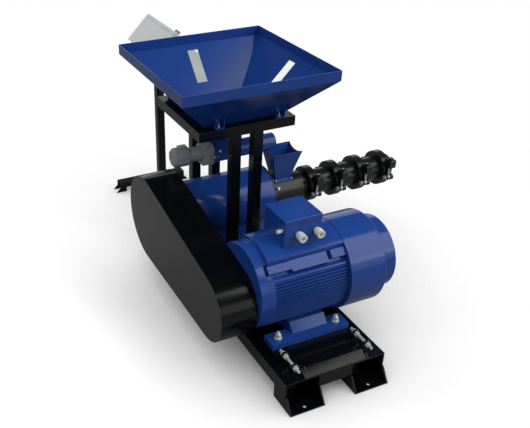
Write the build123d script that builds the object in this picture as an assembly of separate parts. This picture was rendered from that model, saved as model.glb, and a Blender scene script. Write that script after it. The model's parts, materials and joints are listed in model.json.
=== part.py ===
"""Screw extruder on a channel-steel base: belt-driven barrel, screw feeder, square hopper, control box.

Frame: +X runs along the screw, from the belt guard to the die. +Y runs from the motor end of the
base to the control box. +Z is up. The origin is on the floor, at the centre of the anchor holes.
All sizes are in millimetres.
"""

from build123d import *
from math import sqrt
import os

# Base frame of rolled channels
BASE_WIDTH = 520.0
BASE_LENGTH = 1590.0
CHANNEL_WIDTH = 180.0
CHANNEL_FLANGE = 70.0
CHANNEL_WEB_T = 6.0
CHANNEL_FLANGE_T = 8.0
CHANNEL_ROOT_R = 6.0
FOOT_LENGTH = 150.0
FOOT_FLARE = 46.0
FRAME_SETBACK = 54.0
ANCHOR_FROM_END = 29.0
ANCHOR_HOLE_R = 8.0
CROSS_MEMBER_DEPTH = 70.0
CROSS_MEMBER_T = 6.0

# Motor on its slide plate
MOTOR_FROM_FRONT = 490.0
MOTOR_AXIS_Z = 395.0
MOTOR_FOOT_GAUGE = 356.0
MOTOR_FOOT_T = 29.0
MOTOR_FOOT_DEPTH = 86.0
MOTOR_FOOT_LENGTH = 412.0
MOTOR_BODY_R = 206.0
MOTOR_FIN_DEPTH = 20.0
MOTOR_CORE_R = MOTOR_BODY_R - MOTOR_FIN_DEPTH
MOTOR_BODY_START = -226.0
MOTOR_SHIELD_START = -264.7
MOTOR_COWL_START = 190.0
MOTOR_COWL_END = 386.0
MOTOR_COWL_R = 226.0
MOTOR_CAP_END = 474.0
MOTOR_CAP_R = 180.0
MOTOR_INLET_R = 150.0
MOTOR_COWL_SHEET = 4.0
MOTOR_FIN_COUNT = 21
MOTOR_FIN_T = 5.0
MOTOR_FIN_START = -191.0
MOTOR_FIN_Z = (9.0 - MOTOR_CORE_R, 97.0)
MOTOR_LEDGE_Z = (104.0, 112.0)
MOTOR_SHIELD_CHAMFER = 2.0
MOTOR_COWL_ROUND = 8.0
MOTOR_WEB_X = (-79.0, 109.0)
MOTOR_WEB_FOOT = 182.0
MOTOR_WEB_TOP = (145.0, -172.0)
MOTOR_SADDLE_X = -204.0
MOTOR_SADDLE_HALF = 126.0
MOTOR_SADDLE_RISE = 18.0
PLATE_ANGLE = 45.0
PLATE_RISE = 8.0
PLATE_ROOT = 0.9
PLATE_RECESS = 34.0
PLATE_SPANS = ((-213.0, -97.0, -13.0, 23.0), (-97.0, 92.0, -26.0, 26.0), (113.0, 190.0, -14.0, 25.0))
SLIDE_PLATE_T = 12.0
SLIDE_PLATE_WIDTH = 420.0
SLIDE_PLATE_FRONT = 186.0
SLIDE_PLATE_REAR = 716.0
TENSION_BOLT_X = 190.0
TENSION_BOLT_R = 7.0
TENSION_BOLT_Z = 182.0
TENSION_BOLT_FRONT = 66.0
TENSION_BOLT_END = 228.0
TENSION_NUT_FLATS = 24.0
TENSION_NUT_T = 12.0
TENSION_LUG_W = 40.0
TENSION_LUG_T = 8.0
TENSION_BAR_Y = 100.0
APRON_REACH = 43.0
APRON_RISE = 26.0
APRON_T = 6.0
APRON_HALF = 162.0
TRAY_HALF = 190.0
TRAY_T = 6.0

# Terminal box on the motor
TERMINAL_X = -8.0
TERMINAL_WIDTH = 190.0
TERMINAL_DEPTH = 180.0
TERMINAL_TOP_Z = 738.0
TERMINAL_HEIGHT = 170.0
TERMINAL_LID_T = 24.0
GLAND_R = 20.0
GLAND_LENGTH = 44.0
GLAND_X = (-31.0, 61.0)
GLAND_Z = 658.0
SMALL_GLAND_R = 9.0
SMALL_GLAND_LENGTH = 26.0
SMALL_GLAND_OFFSET = -68.0
SMALL_GLAND_Z = 682.0

# Screw axis: belt guard, bearing housing, feed section and barrel
SCREW_FROM_FRONT = 1211.0
SCREW_Z = 409.0
GUARD_FACE_X = -447.0
GUARD_BACK_X = -265.0
GUARD_SCREW_R = 231.0
GUARD_MOTOR_R = 167.0
GUARD_MOTOR_FROM_FRONT = 480.0
GUARD_MOTOR_Z = 336.0
HOUSING_START = GUARD_BACK_X
HOUSING_END = 250.0
HOUSING_R = 157.0
HOUSING_COVER_T = 7.0
HOUSING_COVER_R = 159.0
PEDESTAL_WIDTH = 400.0
PEDESTAL_DEPTH = 250.0
PEDESTAL_CORNER_R = 30.0
FEED_R = 84.0
FEED_LENGTH = 228.0
FEED_BEVEL = 4.0
FEED_BEVEL_LENGTH = 16.0
BARREL_R = 70.5
DIE_FACE_X = 1073.0
DIE_RECESS_R = 52.0
DIE_RECESS = 8.0
DIE_HOLE_R = 5.0
DIE_HOLE_DEPTH = 30.0
DIE_HOLE_RING = 30.0
DIE_HOLE_COUNT = 6

# Hinged ring clamps, each measured from its own left face and from the screw axis
CLAMP_COUNT = 4
FIRST_CLAMP_X = 502.3
CLAMP_PITCH = 162.6
CLAMP_WIDTH = 46.0
CLAMP_R = 100.0
CLAMP_SPLIT = (4.0, 8.0)
EYE_Y = -118.0
EYE_Z = -12.0
EYE_R = 12.0
EYE_PIN_R = 6.0
EYE_BOLT_R = 6.0
EYE_BOLT_X = 22.0
EYE_BOLT_TOP = 108.0
EAR_R = 17.5
EAR_SLOT = (14.0, 30.0)
EAR_SLOT_DEPTH = 20.0
EAR_SLOT_LOW = -60.0
EAR_ROOT = 8.0
PIN_HEAD_R = 13.0
PIN_HEAD_T = 6.0
LUG_X = (9.0, 47.0)
LUG_Y = (-140.0, -86.0)
LUG_Z = (50.0, 97.0)
LUG_ROUND = 6.0
LUG_ROOT_Y = (-18.0, 20.0)
LUG_ROOT_Z = (8.0, 20.0)
LUG_BORE_R = 7.0
LUG_POCKET_R = 13.0
LUG_POCKET = 5.0
CLAMP_NUT_FLATS = 24.0
CLAMP_NUT_T = 13.0
HINGE_Y = 114.0
HINGE_Z = 6.0
HINGE_R = 13.0
HINGE_PIN_R = 5.0
HINGE_SPLIT = (15.0, 31.0)
HINGE_GAP = 0.3
HINGE_ROOT = 12.0
HINGE_CLEAR = ((-1.0, 15.0), (31.0, 47.0))

# Feed funnel over the screw
FUNNEL_TOP_Z = 655.0
FUNNEL_TOP_X = (265.0, 442.0)
FUNNEL_BOTTOM_X = (305.0, 395.0)
FUNNEL_TOP_DEPTH = 140.0
FUNNEL_BOTTOM_DEPTH = 66.0
FUNNEL_SHEET = 3.0
FUNNEL_RISE = 78.0
FUNNEL_DIP = 18.0
SADDLE_T = 4.0
SADDLE_MARGIN = 8.0
SADDLE_HALF_DEPTH = 48.0
THROAT_DEPTH = 40.0

# Screw feeder under the hopper
FEEDER_Z = 713.0
FEEDER_R = 46.5
FEEDER_BORE_R = 43.0
FEEDER_START = -62.0
FEEDER_END = 289.0
FEEDER_MOUTH_LENGTH = 54.0
FEEDER_CUT_LENGTH = 30.0
TROUGH_HALF = 50.0
TROUGH_END = 50.0
TROUGH_SHEET = 5.0
FLANGE_LOBE_R = 16.0
FLANGE_LOBE_REACH = 54.0
FEEDER_FLANGE_T = 12.0
GEARBOX_LENGTH = 62.0
GEARBOX_SIDE = 92.0
GEARBOX_TOP = 56.0
GEARBOX_BEVEL = 12.0
FEED_MOTOR_RISE = 13.0
FEED_MOTOR_R = 38.0
FEED_MOTOR_LENGTH = 76.0
FEED_CAP_R = 47.0
FEED_CAP_LENGTH = 80.0
FEED_CAP_CHAMFER = 7.0
FEED_BOX_LENGTH = 46.0
FEED_BOX_DEPTH = 42.0
FEED_BOX_TOP = 58.0

# Hopper, its ring frame and posts
TUBE = 50.0
TUBE_WALL = 3.0
RING_SIDE = 520.0
POST_X = 60.0
RIM_OVERHANG = 145.0
HOPPER_BAND = 50.0
HOPPER_SHEET = 3.0
HOPPER_OUTLET = 100.0
OUTLET_RISE = 82.0
CONE_SLOPE = 1.03
BRACKET_X = (-149.0, 179.0)
BRACKET_HALF = 24.0
BRACKET_FROM_INNER = 8.0
BRACKET_REACH = 38.0
BRACKET_SHEET = 4.0
SLOT_WIDTH = 58.0
SLOT_LOW = 42.0
SLOT_HIGH = 176.0
SLOT_SHIFT = -5.0

# Control box on its post
STAND_FROM_FRONT = 2307.0
STAND_BAR_DEPTH = 64.0
STAND_BAR_HEIGHT = 65.0
STAND_BAR_LENGTH = 520.0
STAND_BAR_FLARE = 29.0
STAND_POST_X = 79.0
STAND_WALL = 5.0
STAND_FOOT = 72.0
STAND_ARCH = 30.0
BOX_LENGTH = 440.0
BOX_BODY = 182.0
BOX_DOOR_T = 22.0
BOX_DOOR_GAP = 1.0
BOX_HEIGHT = 500.0
BOX_TILT = 45.0
BOX_TOP = (108.0, 1088.0)
BOX_ROUND = 3.0
BUTTON_R = 9.0
BUTTON_LENGTH = 18.0
BUTTON_PLACES = ((34.0, 24.0), (34.0, 58.0))
STOP_R = 19.0
STOP_LENGTH = 30.0
STOP_PLACE = (243.0, 40.0)
VENT_U = (280.0, 470.0)
VENT_DEPTH = (60.0, 165.0)
VENT_T = 6.0
TIE_SHARE = 0.5
TIE_HEIGHT = 40.0

# Clearances
SEAT_GAP = 0.3

# Levels and places worked out from the sizes above
BASE_TOP = 2 * CHANNEL_FLANGE
FRONT_Y = -BASE_LENGTH / 2
MOTOR_Y = FRONT_Y + MOTOR_FROM_FRONT
SCREW_Y = FRONT_Y + SCREW_FROM_FRONT
LONGERON_X = (BASE_WIDTH - CHANNEL_WIDTH) / 2
SLIDE_TOP = BASE_TOP + SLIDE_PLATE_T
STAND_Y = FRONT_Y + STAND_FROM_FRONT
RING_INNER = RING_SIDE / 2 - TUBE
POST_ROW = (RING_SIDE - TUBE) / 2
HOPPER_SIDE = RING_SIDE + 2 * RIM_OVERHANG
CONE_BOTTOM_Z = FEEDER_Z + OUTLET_RISE
RING_TOP_Z = CONE_BOTTOM_Z + CONE_SLOPE * (RING_INNER - HOPPER_OUTLET / 2)
RING_BOTTOM_Z = RING_TOP_Z - TUBE
BAND_LOW = CONE_BOTTOM_Z + CONE_SLOPE * (HOPPER_SIDE - HOPPER_OUTLET) / 2
HOPPER_TOP_Z = BAND_LOW + HOPPER_BAND
TIE_WIDTH = TIE_SHARE * (BASE_WIDTH - 2 * CHANNEL_WIDTH)
FEED_START = HOUSING_END
FEED_END = FEED_START + FEED_LENGTH

pieces = {}


def box_between(low, high):
    """A block given by its lowest and highest corner."""
    size = [high[i] - low[i] for i in range(3)]
    centre = [(high[i] + low[i]) / 2 for i in range(3)]
    return Pos(*centre) * Box(*size)


def along_x(shape):
    """Turn a shape drawn about Z so that its axis runs along +X."""
    return Rot(0, 90, 0) * shape


def rod_x(radius, start, end, y, z):
    """A round bar along X."""
    return Pos((start + end) / 2, y, z) * along_x(Cylinder(radius, end - start))


def rod_y(radius, start, end, x, z):
    """A round bar along Y."""
    return Pos(x, (start + end) / 2, z) * Rot(90, 0, 0) * Cylinder(radius, end - start)


def rod_z(radius, start, end, x, y):
    """A round bar along Z."""
    return Pos(x, y, (start + end) / 2) * Cylinder(radius, end - start)


def hex_prism(across_flats, height):
    """A hexagon bar about Z, standing on the XY plane."""
    return extrude(RegularPolygon(across_flats / 2, 6, major_radius=False), height)


def tube_z(side, wall, low, high, x, y):
    """A square tube standing on end."""
    outer = box_between((x - side / 2, y - side / 2, low), (x + side / 2, y + side / 2, high))
    inner = side / 2 - wall
    return outer - box_between((x - inner, y - inner, low - 1), (x + inner, y + inner, high + 1))


def channel_profile():
    """Rolled channel with its web on top and its flanges down, centred on X, web face at Z = 0."""
    half = CHANNEL_WIDTH / 2
    outer = Polyline((-half, -CHANNEL_FLANGE), (-half, 0), (half, 0), (half, -CHANNEL_FLANGE),
                     (half - CHANNEL_FLANGE_T, -CHANNEL_FLANGE), (half - CHANNEL_FLANGE_T, -CHANNEL_WEB_T),
                     (CHANNEL_FLANGE_T - half, -CHANNEL_WEB_T), (CHANNEL_FLANGE_T - half, -CHANNEL_FLANGE),
                     close=True)
    face = make_face(outer)
    roots = [v for v in face.vertices() if abs(v.Y + CHANNEL_WEB_T) < 0.01]
    return fillet(roots, CHANNEL_ROOT_R)


def longeron(side):
    """One long channel of the base, lying on its two feet."""
    length = BASE_LENGTH - 2 * FRAME_SETBACK
    bar = extrude(Plane.XZ * channel_profile(), length / 2, both=True)
    return Pos(side * LONGERON_X, 0, BASE_TOP) * bar


def foot(side, end):
    """A short upright channel with flared cheeks and one anchor hole; end is -1 at the front."""
    cheek_line = Polyline((0, 0), (FOOT_LENGTH, 0), (FOOT_LENGTH, CHANNEL_FLANGE),
                          (FOOT_FLARE, CHANNEL_FLANGE),
                          close=True)
    cheek = extrude(Plane.YZ * make_face(cheek_line), CHANNEL_FLANGE_T)
    half = CHANNEL_WIDTH / 2
    shape = box_between((-half, 0, 0), (half, FOOT_LENGTH, CHANNEL_WEB_T))
    shape += Pos(-half, 0, 0) * cheek
    shape += Pos(half - CHANNEL_FLANGE_T, 0, 0) * cheek
    shape -= rod_z(ANCHOR_HOLE_R, -1, CHANNEL_WEB_T + 1, 0, ANCHOR_FROM_END)
    placed = Pos(0, -BASE_LENGTH / 2, 0) * shape
    if end > 0:
        placed = mirror(placed, Plane.XZ)
    return Pos(side * LONGERON_X, 0, 0) * placed


def cross_member(front_y, opening):
    """A channel between the longerons, web to the given side; opening is +1 when it opens to +Y."""
    half = BASE_WIDTH / 2 - CHANNEL_WIDTH
    depth = CROSS_MEMBER_DEPTH
    line = Polyline((0, 0), (depth, 0), (depth, -CROSS_MEMBER_T), (CROSS_MEMBER_T, -CROSS_MEMBER_T),
                    (CROSS_MEMBER_T, CROSS_MEMBER_T - CHANNEL_FLANGE),
                    (depth, CROSS_MEMBER_T - CHANNEL_FLANGE),
                    (depth, -CHANNEL_FLANGE), (0, -CHANNEL_FLANGE), close=True)
    bar = extrude(Plane.YZ * make_face(line), half, both=True)
    if opening < 0:
        bar = mirror(bar, Plane.XZ)
    return Pos(0, front_y, BASE_TOP) * bar


def build_base():
    """Longerons, feet and cross members."""
    names = {-1: "left", 1: "right"}
    for side, word in names.items():
        pieces[f"longeron_{word}"] = longeron(side)
        pieces[f"foot_front_{word}"] = foot(side, -1)
        pieces[f"foot_rear_{word}"] = foot(side, 1)
    frame_front = FRONT_Y + FRAME_SETBACK
    pieces["cross_member_front"] = cross_member(frame_front, 1)
    pieces["cross_member_middle"] = cross_member(SCREW_Y - POST_ROW - CROSS_MEMBER_DEPTH / 2, 1)
    pieces["cross_member_rear"] = cross_member(SCREW_Y + POST_ROW + CROSS_MEMBER_DEPTH / 2, -1)


def slide_lug(x, y):
    """A round-topped lug that a tension bolt passes through."""
    rise = TENSION_BOLT_Z - SLIDE_TOP
    plate = box_between((x - TENSION_LUG_W / 2, y, SLIDE_TOP),
                        (x + TENSION_LUG_W / 2, y + TENSION_LUG_T, SLIDE_TOP + rise))
    plate += rod_y(TENSION_LUG_W / 2, y, y + TENSION_LUG_T, x, TENSION_BOLT_Z)
    plate -= rod_y(TENSION_BOLT_R + SEAT_GAP, y - 1, y + TENSION_LUG_T + 1, x, TENSION_BOLT_Z)
    return plate


def build_motor_slide():
    """Slide plate under the motor, the apron bar with its tray, and the two belt tension bolts."""
    plate = box_between((-SLIDE_PLATE_WIDTH / 2, FRONT_Y + SLIDE_PLATE_FRONT, BASE_TOP),
                        (SLIDE_PLATE_WIDTH / 2, FRONT_Y + SLIDE_PLATE_REAR, SLIDE_TOP))
    for side in (-1, 1):
        plate += slide_lug(side * TENSION_BOLT_X, FRONT_Y + SLIDE_PLATE_FRONT)
    pieces["motor_slide_plate"] = plate

    bar_y = FRONT_Y + TENSION_BAR_Y
    foot_y = bar_y - APRON_REACH
    line = Polyline((foot_y, BASE_TOP), (foot_y + 2 * APRON_T, BASE_TOP),
                    (bar_y, BASE_TOP + APRON_RISE - APRON_T),
                    (bar_y + TENSION_LUG_T, BASE_TOP + APRON_RISE - APRON_T),
                    (bar_y + TENSION_LUG_T, BASE_TOP + APRON_RISE), (bar_y, BASE_TOP + APRON_RISE),
                    close=True)
    bar = extrude(Plane.YZ * make_face(line), APRON_HALF, both=True)
    bar += box_between((-APRON_HALF, bar_y, BASE_TOP),
                       (APRON_HALF, bar_y + TENSION_LUG_T, BASE_TOP + APRON_RISE))
    slide_y = FRONT_Y + SLIDE_PLATE_FRONT
    bar += box_between((-TRAY_HALF, bar_y, BASE_TOP), (TRAY_HALF, slide_y, BASE_TOP + TRAY_T))
    for side in (-1, 1):
        x = side * TENSION_BOLT_X
        reach = side * (TENSION_BOLT_X + TENSION_LUG_W / 2)
        inner = side * (APRON_HALF - APRON_T)
        bar += box_between((min(reach, inner), bar_y, BASE_TOP),
                           (max(reach, inner), bar_y + TENSION_LUG_T, TENSION_BOLT_Z))
        bar += rod_y(TENSION_LUG_W / 2, bar_y, bar_y + TENSION_LUG_T, x, TENSION_BOLT_Z)
        bar -= rod_y(TENSION_BOLT_R + SEAT_GAP, bar_y - 1, bar_y + TENSION_LUG_T + 1, x, TENSION_BOLT_Z)
    pieces["tension_bar"] = bar

    nut = Rot(90, 0, 0) * hex_prism(TENSION_NUT_FLATS, TENSION_NUT_T)
    for side, word in ((-1, "left"), (1, "right")):
        x = side * TENSION_BOLT_X
        bolt = rod_y(TENSION_BOLT_R, FRONT_Y + TENSION_BOLT_FRONT, FRONT_Y + TENSION_BOLT_END, x,
                     TENSION_BOLT_Z)
        for y in (bar_y, slide_y, slide_y + TENSION_LUG_T + TENSION_NUT_T):
            bolt += Pos(x, y, TENSION_BOLT_Z) * nut
        pieces[f"tension_bolt_{word}"] = bolt


def motor_disc(radius, start, end):
    """A round bar on the motor's axis."""
    return rod_x(radius, start, end, MOTOR_Y, MOTOR_AXIS_Z)


def on_shoulder(low, high):
    """A block on the motor's front shoulder: along X, up the slope, and out from the axis."""
    return Pos(0, MOTOR_Y, MOTOR_AXIS_Z) * Rot(90 - PLATE_ANGLE, 0, 0) * box_between(low, high)


def nameplate_pads():
    """Raised flat pads on the motor's shoulder, left without any plate or lettering."""
    inner, outer = PLATE_ROOT * MOTOR_CORE_R, MOTOR_BODY_R + PLATE_RISE
    return [on_shoulder((start, low, inner), (end, high, outer)) for start, end, low, high in PLATE_SPANS]


def motor_fins():
    """Level cooling fins on both flanks of the frame."""
    low, high = MOTOR_FIN_Z
    pitch = (high - low) / (MOTOR_FIN_COUNT - 1)
    fins = []
    for side in (-1, 1):
        for i in range(MOTOR_FIN_COUNT):
            z = low + i * pitch
            reach = sqrt(MOTOR_BODY_R ** 2 - z ** 2)
            ends = (MOTOR_Y + side * reach / 2, MOTOR_Y + side * reach)
            fins.append(box_between((MOTOR_BODY_START, min(ends), MOTOR_AXIS_Z + z - MOTOR_FIN_T / 2),
                                    (MOTOR_COWL_START, max(ends), MOTOR_AXIS_Z + z + MOTOR_FIN_T / 2)))
    return fins


def motor_saddle():
    """Ledge above the fins, and the smooth raised back that carries the terminal box."""
    far = 2 * MOTOR_BODY_R
    ledge_low, ledge_top = MOTOR_LEDGE_Z
    ledge = motor_disc(MOTOR_BODY_R, MOTOR_FIN_START, MOTOR_COWL_START)
    ledge &= box_between((MOTOR_FIN_START, MOTOR_Y - far, MOTOR_AXIS_Z + ledge_low),
                         (MOTOR_COWL_START, MOTOR_Y + far, MOTOR_AXIS_Z + ledge_top))
    saddle = motor_disc(MOTOR_BODY_R + MOTOR_SADDLE_RISE, MOTOR_SADDLE_X, MOTOR_COWL_START)
    saddle &= box_between((MOTOR_SADDLE_X, MOTOR_Y - MOTOR_SADDLE_HALF, MOTOR_AXIS_Z),
                          (MOTOR_COWL_START, MOTOR_Y + MOTOR_SADDLE_HALF, MOTOR_AXIS_Z + far))
    return [ledge, saddle]


def build_motor_frame():
    """Cast frame: core, collar, fins, saddle, bare nameplate pads, feet and foot webs."""
    frame = motor_disc(MOTOR_CORE_R, MOTOR_BODY_START, MOTOR_COWL_START)
    collar = motor_disc(MOTOR_BODY_R, MOTOR_BODY_START, MOTOR_FIN_START)
    frame += collar - on_shoulder((MOTOR_BODY_START, -PLATE_RECESS, MOTOR_CORE_R),
                                  (MOTOR_FIN_START + 1, PLATE_RECESS, 2 * MOTOR_BODY_R))
    for piece in motor_fins() + motor_saddle() + nameplate_pads():
        frame += piece
    web_reach, web_rise = MOTOR_WEB_TOP
    web_top = MOTOR_AXIS_Z + web_rise
    for side in (-1, 1):
        y = MOTOR_Y + side * MOTOR_FOOT_GAUGE / 2
        frame += box_between((-MOTOR_FOOT_LENGTH / 2, y - MOTOR_FOOT_DEPTH / 2, SLIDE_TOP),
                             (MOTOR_FOOT_LENGTH / 2, y + MOTOR_FOOT_DEPTH / 2, SLIDE_TOP + MOTOR_FOOT_T))
        foot_y = MOTOR_Y + side * MOTOR_WEB_FOOT
        line = Polyline((MOTOR_Y, SLIDE_TOP), (foot_y, SLIDE_TOP), (foot_y, SLIDE_TOP + MOTOR_FOOT_T),
                        (MOTOR_Y + side * web_reach, web_top), (MOTOR_Y, web_top), close=True)
        web = extrude(Plane.YZ * make_face(line), (MOTOR_WEB_X[1] - MOTOR_WEB_X[0]) / 2, both=True)
        frame += Pos((MOTOR_WEB_X[0] + MOTOR_WEB_X[1]) / 2, 0, 0) * web
    pieces["motor_frame"] = frame


def gland(radius, length, place):
    """A cable gland standing on a face: neck, cap nut and a blind hole for the cable."""
    shape = Pos(0, 0, length * 0.15) * Cylinder(radius * 0.8, length * 0.3)
    shape += Pos(0, 0, length * 0.65) * Cylinder(radius, length * 0.7)
    shape -= Pos(0, 0, length) * Cylinder(radius * 0.45, length * 0.8)
    return place * shape


def build_motor():
    """Frame, drive-end shield, fan cowl, terminal box and glands."""
    build_motor_frame()
    shield = motor_disc(MOTOR_BODY_R, MOTOR_SHIELD_START, MOTOR_BODY_START)
    rims = [e for e in shield.edges().filter_by(GeomType.CIRCLE) if e.center().X < MOTOR_SHIELD_START + 1]
    pieces["motor_drive_end_shield"] = chamfer(rims, MOTOR_SHIELD_CHAMFER)

    cowl = motor_disc(MOTOR_COWL_R, MOTOR_COWL_START, MOTOR_COWL_END)
    cowl += motor_disc(MOTOR_CAP_R, MOTOR_COWL_END, MOTOR_CAP_END)
    rims = [e for e in cowl.edges().filter_by(GeomType.CIRCLE) if e.center().X > MOTOR_COWL_START + 1
            and e.radius > MOTOR_CAP_R - 1
            and not (e.radius < MOTOR_COWL_R and e.center().X < MOTOR_CAP_END - 1)]
    cowl = fillet(rims, MOTOR_COWL_ROUND)
    sheet = MOTOR_COWL_SHEET
    cowl -= motor_disc(MOTOR_CAP_R - sheet, MOTOR_COWL_START + 2 * sheet, MOTOR_CAP_END - sheet)
    cowl -= motor_disc(MOTOR_INLET_R, MOTOR_CAP_END - 2 * sheet, MOTOR_CAP_END + 1)
    pieces["motor_fan_cowl"] = cowl

    low = (TERMINAL_X - TERMINAL_WIDTH / 2, MOTOR_Y - TERMINAL_DEPTH / 2)
    high = (TERMINAL_X + TERMINAL_WIDTH / 2, MOTOR_Y + TERMINAL_DEPTH / 2)
    lid_low = TERMINAL_TOP_Z - TERMINAL_LID_T
    terminal = box_between((*low, TERMINAL_TOP_Z - TERMINAL_HEIGHT), (*high, lid_low))
    terminal = fillet(terminal.edges().filter_by(Axis.Z), 5)
    seat = motor_disc(MOTOR_BODY_R + MOTOR_SADDLE_RISE, MOTOR_SADDLE_X, MOTOR_COWL_START)
    pieces["motor_terminal_box"] = terminal - seat
    lid = box_between((low[0] - 2, low[1] - 2, lid_low), (high[0] + 2, high[1] + 2, TERMINAL_TOP_Z))
    lid = fillet(lid.edges().filter_by(Axis.Z), 7)
    pieces["motor_terminal_lid"] = chamfer(lid.faces().sort_by(Axis.Z)[-1].edges(), 2)
    glands = [gland(GLAND_R, GLAND_LENGTH, Pos(x, low[1], GLAND_Z) * Rot(90, 0, 0)) for x in GLAND_X]
    side_place = Pos(low[0], MOTOR_Y + SMALL_GLAND_OFFSET, SMALL_GLAND_Z) * Rot(0, -90, 0)
    glands.append(gland(SMALL_GLAND_R, SMALL_GLAND_LENGTH, side_place))
    pieces["cable_glands"] = Compound(glands)


def stadium(motor_r, screw_r):
    """The belt guard's outline in the YZ plane: two arcs and their common tangents."""
    motor = Vector(FRONT_Y + GUARD_MOTOR_FROM_FRONT, GUARD_MOTOR_Z)
    screw = Vector(SCREW_Y, SCREW_Z)
    big = Pos(screw.X, screw.Y) * Circle(screw_r)
    small = Pos(motor.X, motor.Y) * Circle(motor_r)
    return make_hull(big.edges() + small.edges())


def build_guard():
    """Belt guard: a sheet-metal case round both pulleys, closed towards the motor by a back plate."""
    depth = GUARD_BACK_X - GUARD_FACE_X
    outer = extrude(Plane.YZ * stadium(GUARD_MOTOR_R, GUARD_SCREW_R), depth)
    pieces["belt_guard"] = Pos(GUARD_FACE_X, 0, 0) * outer


def build_housing():
    """Bearing housing on its pedestal, with the cover ring towards the barrel."""
    body = rod_x(HOUSING_R, HOUSING_START, HOUSING_END - HOUSING_COVER_T, SCREW_Y, SCREW_Z)
    pieces["bearing_housing"] = body
    cover_start = HOUSING_END - HOUSING_COVER_T
    pieces["housing_cover"] = rod_x(HOUSING_COVER_R, cover_start, HOUSING_END, SCREW_Y, SCREW_Z)
    block = box_between((-PEDESTAL_WIDTH / 2, SCREW_Y - PEDESTAL_DEPTH / 2, BASE_TOP),
                        (PEDESTAL_WIDTH / 2, SCREW_Y + PEDESTAL_DEPTH / 2, SCREW_Z))
    block = fillet(block.edges().filter_by(Axis.Z), PEDESTAL_CORNER_R)
    block -= rod_x(HOUSING_R, HOUSING_START - 1, HOUSING_END + 1, SCREW_Y, SCREW_Z)
    pieces["pedestal"] = block


def ring_clamp(x):
    """A hinged ring in two halves; x is its left face. The halves don't touch."""
    def slab(low, high):
        return box_between((x + low[0], SCREW_Y + low[1], SCREW_Z + low[2]),
                           (x + high[0], SCREW_Y + high[1], SCREW_Z + high[2]))

    def bar(radius, start, end, y, z):
        return rod_x(radius, x + start, x + end, SCREW_Y + y, SCREW_Z + z)

    ring = bar(CLAMP_R, 0, CLAMP_WIDTH, 0, 0)
    edges = ring.edges().filter_by(GeomType.CIRCLE)
    ring = chamfer(edges, 2)
    far = 2 * CLAMP_R
    split_low, split_high = CLAMP_SPLIT
    lower = ring - slab((-1, -far, split_low), (CLAMP_WIDTH + 1, far, far))
    upper = ring - slab((-1, -far, -far), (CLAMP_WIDTH + 1, far, split_high))

    ear = bar(EAR_R, 0, CLAMP_WIDTH, EYE_Y, EYE_Z)
    ear += slab((0, EYE_Y, EYE_Z - EAR_R), (CLAMP_WIDTH, -BARREL_R - EAR_ROOT, split_low))
    ear -= slab((-1, -far, split_low), (CLAMP_WIDTH + 1, 0, far))
    lower += ear
    slot_start, slot_end = EAR_SLOT
    front_slot = slab((slot_start, -far, EAR_SLOT_LOW), (slot_end, EAR_SLOT_DEPTH - CLAMP_R, LUG_Z[0]))
    lower -= front_slot
    lower -= bar(EYE_PIN_R, -1, CLAMP_WIDTH + 1, EYE_Y, EYE_Z)

    lug = slab((LUG_X[0], LUG_Y[0], LUG_Z[0]), (LUG_X[1], LUG_Y[1], LUG_Z[1]))
    lug = fillet(lug.edges().filter_by(Axis.X), LUG_ROUND)
    lug += slab((LUG_X[0], LUG_ROOT_Y[0] - BARREL_R, LUG_Z[0] + LUG_ROOT_Z[0]),
                (CLAMP_WIDTH, LUG_ROOT_Y[1] - BARREL_R, LUG_Z[0] + LUG_ROOT_Z[1]))
    upper += lug
    upper -= rod_z(LUG_BORE_R, SCREW_Z, SCREW_Z + LUG_Z[1] + 1, x + EYE_BOLT_X, SCREW_Y + EYE_Y)
    upper -= bar(LUG_POCKET_R, 0, LUG_X[0] + LUG_POCKET, (LUG_Y[0] + LUG_Y[1]) / 2, (LUG_Z[0] + LUG_Z[1]) / 2)
    upper -= front_slot

    first, second = HINGE_SPLIT
    for start, end, half in ((0, first - HINGE_GAP, 0), (first, second, 1),
                             (second + HINGE_GAP, CLAMP_WIDTH, 0)):
        knuckle = bar(HINGE_R, start, end, HINGE_Y, HINGE_Z)
        if half:
            knuckle += slab((start, BARREL_R + HINGE_ROOT, split_high), (end, HINGE_Y, HINGE_Z + HINGE_R))
            upper += knuckle
        else:
            knuckle += slab((start, BARREL_R + HINGE_ROOT, HINGE_Z - HINGE_R), (end, HINGE_Y, split_low))
            lower += knuckle
    for start, end in HINGE_CLEAR:
        upper -= bar(HINGE_R + HINGE_GAP, start, end, HINGE_Y, HINGE_Z)
    lower -= bar(HINGE_R + HINGE_GAP, first - HINGE_GAP, second + HINGE_GAP, HINGE_Y, HINGE_Z)
    pin_hole = bar(HINGE_PIN_R, -1, CLAMP_WIDTH + 1, HINGE_Y, HINGE_Z)
    bore = bar(BARREL_R, -1, CLAMP_WIDTH + 1, 0, 0)
    return Compound([half - bore - pin_hole for half in (upper, lower)])


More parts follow.
